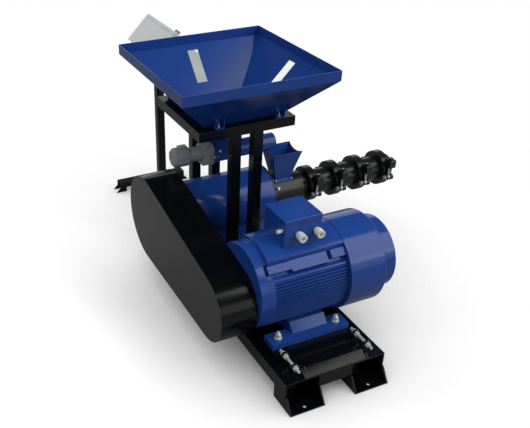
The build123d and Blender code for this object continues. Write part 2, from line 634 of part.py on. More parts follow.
def clamp_hardware():
    """Eye bolts, pins and nuts that close the four ring clamps."""
    bolts, pins, nuts = [], [], []
    for i in range(CLAMP_COUNT):
        x = FIRST_CLAMP_X + i * CLAMP_PITCH
        y, z = SCREW_Y + EYE_Y, SCREW_Z + EYE_Z
        slot_start, slot_end = EAR_SLOT
        eye = rod_x(EYE_R, x + slot_start + 1, x + slot_end - 1, y, z)
        eye += rod_z(EYE_BOLT_R, z, SCREW_Z + EYE_BOLT_TOP, x + EYE_BOLT_X, y)
        bolts.append(eye - rod_x(EYE_PIN_R, x, x + CLAMP_WIDTH, y, z))
        pin = rod_x(EYE_PIN_R, x - PIN_HEAD_T, x + CLAMP_WIDTH + PIN_HEAD_T, y, z)
        pin += rod_x(PIN_HEAD_R, x - PIN_HEAD_T, x, y, z)
        pins.append(pin)
        pins.append(rod_x(HINGE_PIN_R, x - PIN_HEAD_T, x + CLAMP_WIDTH + PIN_HEAD_T, SCREW_Y + HINGE_Y,
                          SCREW_Z + HINGE_Z))
        top = SCREW_Z + LUG_Z[1]
        nut = Pos(x + EYE_BOLT_X, y, top) * hex_prism(CLAMP_NUT_FLATS, CLAMP_NUT_T)
        nuts.append(nut - rod_z(EYE_BOLT_R, top - 1, top + CLAMP_NUT_T + 1, x + EYE_BOLT_X, y))
    pieces["clamp_bolts"] = Compound(bolts)
    pieces["clamp_pins"] = Compound(pins)
    pieces["clamp_nuts"] = Compound(nuts)


def build_barrel():
    """Feed section with its throat, barrel segments, ring clamps and the die head."""
    feed = rod_x(FEED_R, FEED_START, FEED_END, SCREW_Y, SCREW_Z)
    rim = [e for e in feed.edges().filter_by(GeomType.CIRCLE) if e.center().X > FEED_END - 1]
    feed = chamfer(rim, FEED_BEVEL, FEED_BEVEL_LENGTH, reference=feed.faces().sort_by(Axis.X)[-1])
    throat_x = (FUNNEL_BOTTOM_X[0] + FUNNEL_SHEET, FUNNEL_BOTTOM_X[1] - FUNNEL_SHEET)
    throat_half = FUNNEL_BOTTOM_DEPTH / 2 - FUNNEL_SHEET
    feed -= box_between((throat_x[0], SCREW_Y - throat_half, SCREW_Z + FEED_R - THROAT_DEPTH),
                        (throat_x[1], SCREW_Y + throat_half, SCREW_Z + FEED_R + 1))
    pieces["feed_section"] = feed

    starts = [FEED_END] + [FIRST_CLAMP_X + CLAMP_WIDTH / 2 + i * CLAMP_PITCH for i in range(CLAMP_COUNT)]
    for i in range(CLAMP_COUNT):
        pieces[f"barrel_segment_{i + 1}"] = rod_x(BARREL_R, starts[i], starts[i + 1], SCREW_Y, SCREW_Z)
        pieces[f"ring_clamp_{i + 1}"] = ring_clamp(FIRST_CLAMP_X + i * CLAMP_PITCH)
    die = rod_x(BARREL_R, starts[-1], DIE_FACE_X, SCREW_Y, SCREW_Z)
    die -= rod_x(DIE_RECESS_R, DIE_FACE_X - DIE_RECESS, DIE_FACE_X + 1, SCREW_Y, SCREW_Z)
    places = [(0.0, 0.0)] + [(p.X, p.Y)
                             for p in (Rot(0, 0, i * 360 / DIE_HOLE_COUNT) * Pos(DIE_HOLE_RING, 0, 0)
                                       for i in range(DIE_HOLE_COUNT))
                             for p in (p.position,)]
    for y, z in places:
        die -= rod_x(DIE_HOLE_R, DIE_FACE_X - DIE_RECESS - DIE_HOLE_DEPTH, DIE_FACE_X, SCREW_Y + y,
                     SCREW_Z + z)
    pieces["die_head"] = die
    clamp_hardware()


def rect_face(x_range, y_half, y, z):
    """A level rectangle used as one end of a loft."""
    return Pos((x_range[0] + x_range[1]) / 2, y, z) * Rectangle(x_range[1] - x_range[0], 2 * y_half)


def funnel_shell(top_x, top_half, bottom_x, bottom_half, bottom_z, top_z, sheet):
    """A four-sided sheet funnel, open at both ends."""
    outer = loft([rect_face(bottom_x, bottom_half, SCREW_Y, bottom_z),
                  rect_face(top_x, top_half, SCREW_Y, top_z)])
    inner_bottom = (bottom_x[0] + sheet, bottom_x[1] - sheet)
    inner_top = (top_x[0] + sheet, top_x[1] - sheet)
    inner = loft([rect_face(inner_bottom, bottom_half - sheet, SCREW_Y, bottom_z),
                  rect_face(inner_top, top_half - sheet, SCREW_Y, top_z)])
    return outer - inner


def build_funnel():
    """Small open funnel from the feeder's mouth to the feed section, with a saddle round the throat."""
    bottom_half = FUNNEL_BOTTOM_DEPTH / 2
    low_z = SCREW_Z + FUNNEL_RISE
    funnel = funnel_shell(FUNNEL_TOP_X, FUNNEL_TOP_DEPTH / 2, FUNNEL_BOTTOM_X, bottom_half, low_z,
                          FUNNEL_TOP_Z, FUNNEL_SHEET)
    top_half = FUNNEL_TOP_DEPTH / 2
    arc_r = (top_half ** 2 + FUNNEL_DIP ** 2) / (2 * FUNNEL_DIP)
    reach = FUNNEL_TOP_X[1] - 4 * FUNNEL_SHEET
    funnel -= rod_x(arc_r, reach, FUNNEL_TOP_X[1] + 1, SCREW_Y, FUNNEL_TOP_Z - FUNNEL_DIP + arc_r)
    neck = box_between((FUNNEL_BOTTOM_X[0], SCREW_Y - bottom_half, SCREW_Z),
                       (FUNNEL_BOTTOM_X[1], SCREW_Y + bottom_half, low_z))
    saddle_x = (FUNNEL_BOTTOM_X[0] - SADDLE_MARGIN, FUNNEL_BOTTOM_X[1] + SADDLE_MARGIN)
    saddle = rod_x(FEED_R + SADDLE_T, *saddle_x, SCREW_Y, SCREW_Z)
    keep = box_between((saddle_x[0], SCREW_Y - SADDLE_HALF_DEPTH, SCREW_Z),
                       (saddle_x[1], SCREW_Y + SADDLE_HALF_DEPTH, SCREW_Z + 2 * FEED_R))
    neck += saddle & keep
    screw_body = rod_x(FEED_R, saddle_x[0] - 1, saddle_x[1] + 1, SCREW_Y, SCREW_Z)
    neck -= screw_body
    funnel -= screw_body
    inner = bottom_half - FUNNEL_SHEET
    neck -= box_between((FUNNEL_BOTTOM_X[0] + FUNNEL_SHEET, SCREW_Y - inner, SCREW_Z),
                        (FUNNEL_BOTTOM_X[1] - FUNNEL_SHEET, SCREW_Y + inner, low_z + 4 * SADDLE_T))
    pieces["feed_funnel"] = funnel + neck


def build_feeder():
    """Screw feeder: trough, tube with its open mouth, flange, gearbox and its small motor."""
    half = TROUGH_HALF
    trough = rod_x(half, FEEDER_START, TROUGH_END, SCREW_Y, FEEDER_Z)
    trough += box_between((FEEDER_START, SCREW_Y - half, FEEDER_Z),
                          (TROUGH_END, SCREW_Y + half, FEEDER_Z + half))
    inner = half - TROUGH_SHEET
    trough -= box_between((FEEDER_START + 2 * TROUGH_SHEET, SCREW_Y - inner, FEEDER_Z),
                          (TROUGH_END - TROUGH_SHEET, SCREW_Y + inner, FEEDER_Z + half + 1))
    pieces["feeder_trough"] = trough
    tube = rod_x(FEEDER_R, TROUGH_END, FEEDER_END, SCREW_Y, FEEDER_Z)
    mouth = FEEDER_END - FEEDER_MOUTH_LENGTH
    tube -= rod_x(FEEDER_BORE_R, mouth, FEEDER_END + 1, SCREW_Y, FEEDER_Z)
    tube -= box_between((FEEDER_END - FEEDER_CUT_LENGTH, SCREW_Y - FEEDER_R - 1, FEEDER_Z - FEEDER_R - 1),
                        (FEEDER_END + 1, SCREW_Y + FEEDER_R + 1, FEEDER_Z - FEEDER_R / 2))
    pieces["feeder_tube"] = tube

    flange_start = FEEDER_START - FEEDER_FLANGE_T
    reach = FLANGE_LOBE_REACH
    lobes = [Pos(y, z) * Circle(FLANGE_LOBE_R) for y, z in ((reach, 0), (0, reach), (-reach, 0), (0, -reach))]
    outline = make_hull([edge for lobe in lobes for edge in lobe.edges()])
    flange = extrude(Plane.YZ * outline, FEEDER_FLANGE_T)
    pieces["feeder_flange"] = Pos(flange_start, SCREW_Y, FEEDER_Z) * flange
    box_start = flange_start - GEARBOX_LENGTH
    side = GEARBOX_SIDE / 2
    gearbox = box_between((box_start, SCREW_Y - side, FEEDER_Z - side), (flange_start, SCREW_Y + side,
                                                                       FEEDER_Z + GEARBOX_TOP))
    pieces["feeder_gearbox"] = chamfer(gearbox.edges().filter_by(Axis.X), GEARBOX_BEVEL)
    motor_z = FEEDER_Z + FEED_MOTOR_RISE
    motor_start = box_start - FEED_MOTOR_LENGTH
    octagon = Rot(0, 0, 22.5) * RegularPolygon(FEED_CAP_R, 8, major_radius=False)
    cap = Pos(motor_start - FEED_CAP_LENGTH, SCREW_Y, motor_z) * extrude(Plane.YZ * octagon, FEED_CAP_LENGTH)
    cap = chamfer(cap.faces().sort_by(Axis.X)[0].edges(), FEED_CAP_CHAMFER)
    motor = rod_x(FEED_MOTOR_R, motor_start - 1, box_start, SCREW_Y, motor_z) + cap
    pieces["feeder_motor"] = motor
    lid = box_between((motor_start - FEED_BOX_LENGTH, SCREW_Y - FEED_BOX_DEPTH / 2, motor_z),
                      (motor_start, SCREW_Y + FEED_BOX_DEPTH / 2, motor_z + FEED_BOX_TOP))
    lid = chamfer(lid.faces().sort_by(Axis.Z)[-1].edges(), 3)
    pieces["feeder_terminal_box"] = lid - motor


def turned(shape, angle):
    """A shape drawn for the front side, turned about the hopper's upright axis and put in place."""
    return Pos(0, SCREW_Y, 0) * Rot(0, 0, angle) * shape


def build_hopper():
    """Square sheet hopper with an upright rim band, two slots with panes, an outlet duct and brackets."""
    half = HOPPER_SIDE / 2
    outlet = HOPPER_OUTLET / 2
    band = box_between((-half, SCREW_Y - half, BAND_LOW), (half, SCREW_Y + half, HOPPER_TOP_Z))
    inner = half - HOPPER_SHEET
    band -= box_between((-inner, SCREW_Y - inner, BAND_LOW - 1), (inner, SCREW_Y + inner, HOPPER_TOP_Z + 1))
    cone = funnel_shell((-half, half), half, (-outlet, outlet), outlet, CONE_BOTTOM_Z, BAND_LOW, HOPPER_SHEET)
    cutter = box_between((SLOT_SHIFT - SLOT_WIDTH / 2, outlet, RING_TOP_Z + SLOT_LOW),
                         (SLOT_SHIFT + SLOT_WIDTH / 2, half, RING_TOP_Z + SLOT_HIGH))
    slots = [turned(cutter, 0), turned(mirror(cutter, Plane.YZ), -90)]
    pieces["sight_panes"] = Compound([solid for slot in slots for solid in (cone & slot).solids()])
    pieces["hopper"] = band + (cone - slots[0] - slots[1])

    duct_low = FEEDER_Z + TROUGH_HALF
    duct = box_between((-outlet, SCREW_Y - outlet, duct_low), (outlet, SCREW_Y + outlet, CONE_BOTTOM_Z))
    hole = outlet - HOPPER_SHEET
    duct -= box_between((-hole, SCREW_Y - hole, duct_low - 1), (hole, SCREW_Y + hole, CONE_BOTTOM_Z + 1))
    pieces["hopper_outlet"] = duct

    start = RING_INNER + BRACKET_FROM_INNER
    end = start + BRACKET_REACH
    rise = [(y - RING_INNER) * CONE_SLOPE for y in (start, end)]
    line = Polyline((-start, 0), (-end, 0), (-end, rise[1]), (-start, rise[0]), close=True)
    block = extrude(Plane.YZ * make_face(line), BRACKET_HALF, both=True)
    hollow = box_between((BRACKET_SHEET - BRACKET_HALF, -end - 1, BRACKET_SHEET),
                         (BRACKET_HALF - BRACKET_SHEET, 0, end))
    bracket = block - hollow
    brackets = [turned(Pos(x, 0, RING_TOP_Z) * bracket, angle) for angle in (0, 180) for x in BRACKET_X]
    pieces["hopper_brackets"] = Compound(brackets)


def build_stand_frame():
    """Ring frame under the hopper and its four posts."""
    half = RING_SIDE / 2
    inner = half - TUBE
    ring = box_between((-half, SCREW_Y - half, RING_BOTTOM_Z), (half, SCREW_Y + half, RING_TOP_Z))
    ring -= box_between((-inner, SCREW_Y - inner, RING_BOTTOM_Z - 1),
                        (inner, SCREW_Y + inner, RING_TOP_Z + 1))
    pieces["ring_frame"] = ring
    for y_side, row_word in ((-1, "front"), (1, "rear")):
        for x_side, word in ((-1, "left"), (1, "right")):
            pieces[f"post_{row_word}_{word}"] = tube_z(TUBE, TUBE_WALL, BASE_TOP, RING_BOTTOM_Z,
                                                       x_side * POST_X, SCREW_Y + y_side * POST_ROW)


def on_cabinet(shape):
    """Place a shape drawn with +X down the door, +Y along the machine and +Z out of the door."""
    return Pos(BOX_TOP[0], STAND_Y, BOX_TOP[1]) * Rot(0, BOX_TILT, 0) * shape


def build_control():
    """Tilted control cabinet on a post, its floor bar, and the tie to the base."""
    half = STAND_BAR_LENGTH / 2
    flare = STAND_BAR_FLARE
    line = Polyline((-half, 0), (half, 0), (half - flare, flare), (half - flare, STAND_BAR_HEIGHT),
                    (flare - half, STAND_BAR_HEIGHT), (flare - half, flare), close=True)
    bar = Pos(0, STAND_Y, 0) * extrude(Plane.XZ * make_face(line), STAND_BAR_DEPTH / 2, both=True)
    skirt = STAND_BAR_DEPTH / 2 - STAND_WALL
    bar -= box_between((-half - 1, STAND_Y - skirt, -1),
                       (half + 1, STAND_Y + skirt, STAND_BAR_HEIGHT - STAND_WALL))
    arch = half - STAND_FOOT
    bar -= box_between((-arch, STAND_Y - STAND_BAR_DEPTH, -1), (arch, STAND_Y + STAND_BAR_DEPTH, STAND_ARCH))
    pieces["stand_bar"] = bar

    half_length = BOX_LENGTH / 2
    body_top = -BOX_DOOR_T - BOX_DOOR_GAP
    body = box_between((0, -half_length, body_top - BOX_BODY), (BOX_HEIGHT, half_length, body_top))
    body = fillet(body.edges().filter_by(Axis.Z), BOX_ROUND)
    recess = box_between((8, 8 - half_length, body_top), (BOX_HEIGHT - 8, half_length - 8, -BOX_DOOR_T))
    pieces["control_box"] = on_cabinet(body + recess)
    door = box_between((0, -half_length, -BOX_DOOR_T), (BOX_HEIGHT, half_length, 0))
    door = fillet(door.edges().filter_by(Axis.Z), BOX_ROUND)
    pieces["control_door"] = on_cabinet(chamfer(door.faces().sort_by(Axis.Z)[-1].edges(), 2))
    buttons = [Pos(u, v - half_length, BUTTON_LENGTH / 2) * Cylinder(BUTTON_R, BUTTON_LENGTH)
               for u, v in BUTTON_PLACES]
    pieces["control_buttons"] = on_cabinet(Compound(buttons))
    stop_u, stop_v = STOP_PLACE
    stop = Pos(stop_u, stop_v - half_length, STOP_LENGTH / 4) * Cylinder(STOP_R * 0.6, STOP_LENGTH / 2)
    stop += Pos(stop_u, stop_v - half_length, STOP_LENGTH * 0.75) * Cylinder(STOP_R, STOP_LENGTH / 2)
    pieces["emergency_stop"] = on_cabinet(stop)
    vent = box_between((VENT_U[0], -half_length - VENT_T, -VENT_DEPTH[1]),
                       (VENT_U[1], -half_length, -VENT_DEPTH[0]))
    pieces["control_side_plate"] = on_cabinet(vent)

    post = tube_z(TUBE, TUBE_WALL, STAND_BAR_HEIGHT, BOX_TOP[1], STAND_POST_X, STAND_Y)
    beyond = box_between((-BOX_HEIGHT, -half_length, body_top - BOX_BODY),
                         (2 * BOX_HEIGHT, half_length, BOX_HEIGHT))
    pieces["control_post"] = post - on_cabinet(beyond)
    tie_top = BASE_TOP - CHANNEL_FLANGE
    tie_start = SCREW_Y + POST_ROW - CROSS_MEMBER_DEPTH / 2
    pieces["stand_tie"] = box_between((-TIE_WIDTH / 2, tie_start, tie_top - TIE_HEIGHT),
                                      (TIE_WIDTH / 2, STAND_Y - STAND_BAR_DEPTH / 2, tie_top))


build_base()
build_motor_slide()
build_motor()
build_guard()
build_housing()
build_barrel()
build_funnel()
build_feeder()
build_hopper()
build_stand_frame()
build_control()

os.makedirs("parts", exist_ok=True)
for name, shape in pieces.items():
    export_step(shape, f"parts/{name}.step")
print(len(pieces), "nodes written")
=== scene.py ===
# %% [markdown]
# # Dressing a belt-driven screw extruder
# The solids of this machine are already drawn to size: a channel-steel base, a finned motor behind a belt
# guard, a clamped barrel, a screw feeder under a square hopper, and a tilted control cabinet on a post.
# This lesson gives them paint, metal and plastic, adds the small fasteners, and lights them in a studio.
# Everything stands in the frame of the solids, which is in metres. The sizes of the small pieces are
# written in millimetres and turn into metres where their meshes are made.

# %% Load the solids
import json
from math import cos, pi, radians, sin, tan

import bmesh
import bpy
from mathutils import Matrix, Vector


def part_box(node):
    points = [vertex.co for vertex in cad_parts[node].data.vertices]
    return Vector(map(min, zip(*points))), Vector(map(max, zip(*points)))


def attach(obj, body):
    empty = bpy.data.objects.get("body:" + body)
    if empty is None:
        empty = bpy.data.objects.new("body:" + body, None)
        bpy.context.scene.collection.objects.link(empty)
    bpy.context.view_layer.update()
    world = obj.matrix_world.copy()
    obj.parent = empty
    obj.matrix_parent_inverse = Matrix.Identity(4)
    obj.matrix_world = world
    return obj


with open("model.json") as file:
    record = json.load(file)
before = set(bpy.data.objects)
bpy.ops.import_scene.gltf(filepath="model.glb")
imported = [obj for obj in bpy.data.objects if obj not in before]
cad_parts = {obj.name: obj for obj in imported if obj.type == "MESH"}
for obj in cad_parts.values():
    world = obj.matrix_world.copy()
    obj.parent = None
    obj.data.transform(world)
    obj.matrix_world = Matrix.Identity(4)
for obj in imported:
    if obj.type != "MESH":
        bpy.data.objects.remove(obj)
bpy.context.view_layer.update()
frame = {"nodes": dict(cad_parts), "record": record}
NODES = frame["nodes"]
SLOT_OF = {part["node"]: part["material_slot"] for part in frame["record"]["subparts"]}
MM = 0.001
print(len(NODES), "solids loaded")

# %% [markdown]
# ## Writing a material as sums
# A paint is a little arithmetic: some noise, scaled, added to a roughness. Wiring Math nodes by hand hides
# that, so one small class wraps a socket and overloads the operators. An expression on it adds the nodes. A
# second class holds the node tree, and the paints and the sky both build on it.

# %% The wrapper for a socket
class Wire:
    """One output of a node. A sum, a product or a power of it adds a Math node."""

    def __init__(self, graph, socket):
        self.graph = graph
        self.socket = socket

    def maths(self, operation, *values):
        return self.graph.node("ShaderNodeMath", {"operation": operation}, dict(enumerate(values)))

    def __add__(self, other):
        return self.maths("ADD", self, other)

    def __sub__(self, other):
        return self.maths("SUBTRACT", self, other)

    def __rsub__(self, other):
        return self.maths("SUBTRACT", other, self)

    def __mul__(self, other):
        return self.maths("MULTIPLY", self, other)

    def __pow__(self, other):
        return self.maths("POWER", self, other)

    def __rpow__(self, other):
        return self.maths("POWER", other, self)

    __radd__ = __add__
    __rmul__ = __mul__

    def clip(self):
        """The value held between 0 and 1."""
        return self.graph.node("ShaderNodeClamp", {}, {"Value": self})


# %% The nodes of a material or a sky
class Graph:
    """A node tree, with one method that adds any node."""

    def __init__(self, tree):
        self.tree = tree

    def link(self, value, socket):
        """Put a number, a colour or a wire on a socket."""
        if isinstance(value, Wire):
            self.tree.links.new(value.socket, socket)
        else:
            socket.default_value = value

    def node(self, kind, settings, inputs, output=0):
        """Add a node: its settings first, then the values or wires of its sockets."""
        made = self.tree.nodes.new(kind)
        for name, value in settings.items():
            setattr(made, name, value)
        for key, value in inputs.items():
            self.link(value, made.inputs[key])
        return Wire(self, made.outputs[output])

    def mix(self, share, first, second):
        """A colour between two colours."""
        settings = {"data_type": "RGBA", "clamp_factor": True}
        return self.node("ShaderNodeMix", settings, {0: share, 6: first, 7: second}, 2)

    def band(self, value, low, high):
        """0 below low, 1 above high, and smooth between them."""
        settings = {"interpolation_type": "SMOOTHSTEP"}
        return self.node("ShaderNodeMapRange", settings, {0: value, 1: low, 2: high, 3: 0.0, 4: 1.0})


# %% The material under construction
class Finish(Graph):
    """A material with one Principled shader."""

    def __init__(self, name):
        self.material = bpy.data.materials.new(name)
        self.material.use_nodes = True
        super().__init__(self.material.node_tree)
        self.shader = self.tree.nodes["Principled BSDF"]
        self.place = None

    def spot(self):
        """The point on the surface, in metres, the same for every piece."""
        if self.place is None:
            self.place = self.node("ShaderNodeTexCoord", {}, {}, "Object")
        return self.place

    def noise(self, scale, detail=2.0, rough=0.5, stretch=None):
        """Cloudy noise between 0 and 1, with scale features in a metre."""
        place = self.spot()
        if stretch is not None:
            place = self.node("ShaderNodeVectorMath", {"operation": "MULTIPLY"}, {0: place, 1: stretch})
        return self.node("ShaderNodeTexNoise", {}, {"Vector": place, "Scale": scale, "Detail": detail,
                                                    "Roughness": rough})

    def bump(self, height, distance):
        """Give the surface a fine relief; distance is its depth in metres."""
        normal = self.node("ShaderNodeBump", {}, {"Height": height, "Distance": distance}, "Normal")
        self.link(normal, self.shader.inputs["Normal"])

    def paint(self, **values):
        """Set the Principled sockets by name, with _ for a space."""
        for name, value in values.items():
            self.link(value, self.shader.inputs[name.replace("_", " ")])


def rgb(red, green, blue):
    """A linear colour with full cover."""
    return (red, green, blue, 1.0)


# %% [markdown]
# ## Enamel
# The machine is sprayed with a hard gloss enamel. Up close such a coat isn't flat: it has the fine ripple
# called orange peel, the film is a touch thicker and darker here and there, and handling leaves it a little
# duller in places. Noise at three sizes gives all three, and none of them is strong enough to look dirty.

# %% Gloss enamel
def enamel(name, colour, deep, roughness, shine, peel=0.00002, peel_scale=420.0):
    """A sprayed gloss coat: colour in a full film, deep where it lies thicker."""
    finish = Finish(name)
    film = finish.band(finish.noise(3.0, detail=3.0), 0.3, 0.7)
    worn = finish.noise(11.0, detail=4.0, rough=0.6)
    finish.paint(Base_Color=finish.mix(film, rgb(*deep), rgb(*colour)),
                 Roughness=(worn - 0.5) * 0.10 + roughness,
                 Specular_IOR_Level=shine)
    finish.bump(finish.noise(peel_scale, detail=1.0), peel)
    return finish.material


BLUE = enamel("blue_enamel", colour=(0.016, 0.066, 0.315), deep=(0.014, 0.058, 0.285), roughness=0.15,
              shine=0.36)
BLACK = enamel("black_enamel", colour=(0.0032, 0.0036, 0.0046), deep=(0.0024, 0.0027, 0.0036),
               roughness=0.17, shine=0.30)
GREY = enamel("gearmotor_enamel", colour=(0.315, 0.315, 0.330), deep=(0.280, 0.280, 0.295), roughness=0.38,
              shine=0.40, peel=0.00010, peel_scale=900.0)
print("enamels:", BLUE.name, BLACK.name, GREY.name)

# %% [markdown]
# ## Powder coat
# The control cabinet is powder coated: matt, pale, and finely pebbled. One fine noise drives both the
# relief and the roughness of the pebbles; the colour hardly changes.

# %% Powder coat
def powder_coat(name, colour, deep, roughness):
    """A baked powder finish with fine pebbling."""
    finish = Finish(name)
    pebble = finish.noise(700.0, rough=0.6)
    cloud = finish.band(finish.noise(4.0, detail=3.0), 0.35, 0.65)
    finish.paint(Base_Color=finish.mix(cloud, rgb(*deep), rgb(*colour)),
                 Roughness=(pebble - 0.5) * 0.16 + roughness)
    finish.bump(pebble, 0.00012)
    return finish.material


CABINET = powder_coat("cabinet_powder_coat", colour=(0.80, 0.82, 0.81), deep=(0.76, 0.78, 0.77),
                      roughness=0.46)
print("powder coat:", CABINET.name)

# %% [markdown]
# ## Metal
# Most bolts, studs and pins are zinc plated: bright, slightly milky, with a grain too small to see but wide
# enough to blur the reflections. The barrel and its clamps are blackened steel, and turning leaves rings in
# the surface that run round the screw axis. The rings are noise that changes fast along that axis and
# slowly across it.

# %% Zinc and blackened steel
def zinc_plate(name):
    """Bright zinc over steel."""
    finish = Finish(name)
    milk = finish.noise(160.0, detail=3.0, rough=0.6)
    finish.paint(Base_Color=finish.mix(milk, rgb(0.56, 0.57, 0.58), rgb(0.70, 0.71, 0.72)),
                 Metallic=0.4,
                 Roughness=(milk - 0.5) * 0.2 + 0.36)
    finish.bump(finish.noise(900.0), 0.00004)
    return finish.material


def blackened_steel(name):
    """Machined steel under a thin heat-proof black."""
    finish = Finish(name)
    rings = finish.noise(60.0, stretch=(18.0, 0.4, 0.4))
    cloud = finish.band(finish.noise(9.0, detail=4.0, rough=0.6), 0.3, 0.7)
    finish.paint(Base_Color=finish.mix(cloud, rgb(0.0080, 0.0090, 0.0088), rgb(0.0115, 0.0125, 0.0122)),
                 Roughness=(rings - 0.5) * 0.12 + 0.30)
    finish.bump(rings, 0.00002)
    return finish.material


ZINC = zinc_plate("zinc_plate")
STEEL = blackened_steel("blackened_steel")
print("metals:", ZINC.name, STEEL.name)

# %% [markdown]
# ## Plastic and panes
# The cable glands are moulded nylon and the stop button is red plastic. Both are even in colour with a soft
# sheen. The two panes in the hopper are thin clear sheet: most of what is behind shows, so the cover is
# low.

# %% Plastic and panes
def moulded(name, colour, roughness):
    """Moulded plastic with the faint mottle that a mould leaves."""
    finish = Finish(name)
    mottle = finish.noise(350.0, detail=3.0)
    dark = tuple(0.93 * part for part in colour)
    finish.paint(Base_Color=finish.mix(mottle, rgb(*dark), rgb(*colour)),
                 Roughness=(mottle - 0.5) * 0.15 + roughness)
    finish.bump(mottle, 0.00004)
    return finish.material


def clear_sheet(name):
    """A clear pane that shows what is behind it."""
    finish = Finish(name)
    film = finish.noise(14.0, detail=3.0)
    finish.paint(Base_Color=rgb(0.80, 0.85, 0.86), Roughness=film * 0.06 + 0.03,
                 Alpha=film * 0.08 + 0.08)
    return finish.material


NYLON = moulded("white_nylon", colour=(0.80, 0.80, 0.77), roughness=0.36)
RED = moulded("red_plastic", colour=(0.55, 0.018, 0.018), roughness=0.32)
PANE = clear_sheet("clear_pane")
print("plastics:", NYLON.name, RED.name, PANE.name)

# %% [markdown]
# ## Paint the solids
# The record says which finish each solid takes, so one table of finishes is enough. A real edge is never
# razor sharp: it is broken by a file or a fold, and that narrow round is what catches the light. A Bevel
# modifier does that without touching the mesh. The import splits the corners, so a Weld comes first. The
# bevel narrows itself to fit the shortest edge of a mesh. Where the motor's fins run into its round frame
# those edges are so short that nothing would be left, so that mesh takes a narrow bevel at its full width.

# %% Finishes and softened edges
FINISH_OF_SLOT = {"blue_paint": BLUE, "black_paint": BLACK, "grey_paint": GREY, "light_grey_paint": CABINET,
                  "zinc": ZINC, "white_plastic": NYLON, "red_plastic": RED, "clear_pane": PANE,
                  "blackened_steel": STEEL}
# Width of the softened edge in millimetres, by slot and where a solid needs its own.
EDGE_OF_SLOT = {"blue_paint": 1.6, "black_paint": 1.2, "grey_paint": 1.5, "light_grey_paint": 1.2,
                "zinc": 0.7, "white_plastic": 1.0, "red_plastic": 1.5, "blackened_steel": 1.0}
EDGE_OF_NODE = {"hopper": 0.8, "feed_funnel": 0.8, "hopper_brackets": 0.8, "hopper_outlet": 0.8,
                "control_post": 2.5, "motor_frame": 0.9}
UNCLAMPED = {"motor_frame"}
WELD_GAP = 0.01
SHARP = radians(32)
CORNER = radians(50)


def soften(thing, width):
    """Round the sharp edges of a mesh by a narrow bevel, and keep its flat faces flat."""
    thing.data.shade_smooth()
    weld = thing.modifiers.new("weld", "WELD")
    weld.merge_threshold = WELD_GAP * MM
    bevel = thing.modifiers.new("edges", "BEVEL")
    bevel.width = width * MM
    bevel.segments = 2
    bevel.use_clamp_overlap = thing.name not in UNCLAMPED
    bevel.limit_method = "ANGLE"
    bevel.angle_limit = SHARP
    split = thing.modifiers.new("corners", "EDGE_SPLIT")
    split.split_angle = CORNER
    split.use_edge_sharp = False
    flat = thing.modifiers.new("flats", "WEIGHTED_NORMAL")
    flat.weight = 50
    flat.keep_sharp = False


for node, thing in NODES.items():
    slot = SLOT_OF[node]
    thing.data.materials.clear()
    thing.data.materials.append(FINISH_OF_SLOT[slot])
    if slot in EDGE_OF_SLOT:
        soften(thing, EDGE_OF_NODE.get(node, EDGE_OF_SLOT[slot]))
print("finishes on", len(NODES), "solids")

# %% [markdown]
# ## Small shapes in mesh code
# Most fasteners are turned on a lathe: a washer, a stud, a dome. Blender can spin a curve with a modifier,
# but a function that spins a profile of (radius, height) pairs about Z is as short and leaves a closed
# mesh. A hexagon is the same spin in six steps. A shape is a list of points and a list of faces, which
# makes it easy to place copies and gather them into one piece.

# %% Lathe and hexagon
def lathe(profile, segments=28):
    """Spin (radius, height) pairs, in millimetres, about Z. A radius of 0 closes an end."""
    points, rows = [], []
    for radius, height in profile:
        if radius == 0:
            rows.append([len(points)])
            points.append(Vector((0, 0, height * MM)))
        else:
            rows.append(list(range(len(points), len(points) + segments)))
            for i in range(segments):
                turn = 2 * pi * i / segments
                points.append(Vector((radius * cos(turn), radius * sin(turn), height)) * MM)
    faces = []
    for low, high in zip(rows, rows[1:]):
        for i in range(segments):
            k = (i + 1) % segments
            if len(low) == 1:
                faces.append((low[0], high[k], high[i]))
            elif len(high) == 1:
                faces.append((low[i], low[k], high[0]))
            else:
                faces.append((low[i], low[k], high[k], high[i]))
    return points, faces


def hexagon(flats, height, chamfer):
    """A hexagon head or nut standing on Z = 0, chamfered on top."""
    corner = flats / 2 / cos(pi / 6)
    low = corner - chamfer * 1.2
    return lathe([(0, 0), (corner, 0), (corner, height - chamfer), (low, height), (0, height)], 6)


def placed(shape, location, direction, spin=0.0):
    """Move a shape to a place in millimetres, with its Z axis along a direction."""
    points, faces = shape
    turn = Vector(direction).to_track_quat("Z", "Y").to_matrix().to_4x4()
    move = Matrix.Translation(Vector(location) * MM) @ turn @ Matrix.Rotation(spin, 4, "Z")
    return [move @ point for point in points], faces


# %% [markdown]
# ## From shapes to a piece
# Ten bolts of one kind are one piece, not ten: it rides on the body and takes its finish once. Faces are
# turned outwards, flat facets stay flat and round ones are shaded smooth. A bolt is a washer and a head. A
# stud adds a stem, and its thread is a row of rings, which looks like a helix at this size.

# %% Make a piece
def make_piece(name, shapes, finish):
    """Gather shapes into one mesh object that rides on the machine."""
    mesh = bpy.data.meshes.new(name)
    work = bmesh.new()
    for points, faces in shapes:
        dots = [work.verts.new(point) for point in points]
        for face in faces:
            work.faces.new([dots[i] for i in face])
    bmesh.ops.recalc_face_normals(work, faces=work.faces)
    work.to_mesh(mesh)
    work.free()
    mesh.materials.append(finish)
    mesh.shade_smooth()
    mesh.set_sharp_from_angle(angle=SHARP)
    piece = bpy.data.objects.new(name, mesh)
    bpy.context.scene.collection.objects.link(piece)
    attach(piece, "root")
    print(name, len(mesh.polygons), "faces")


WASHER_EDGE = 0.6
THREAD_PITCH, THREAD_DEPTH = 2.0, 0.7


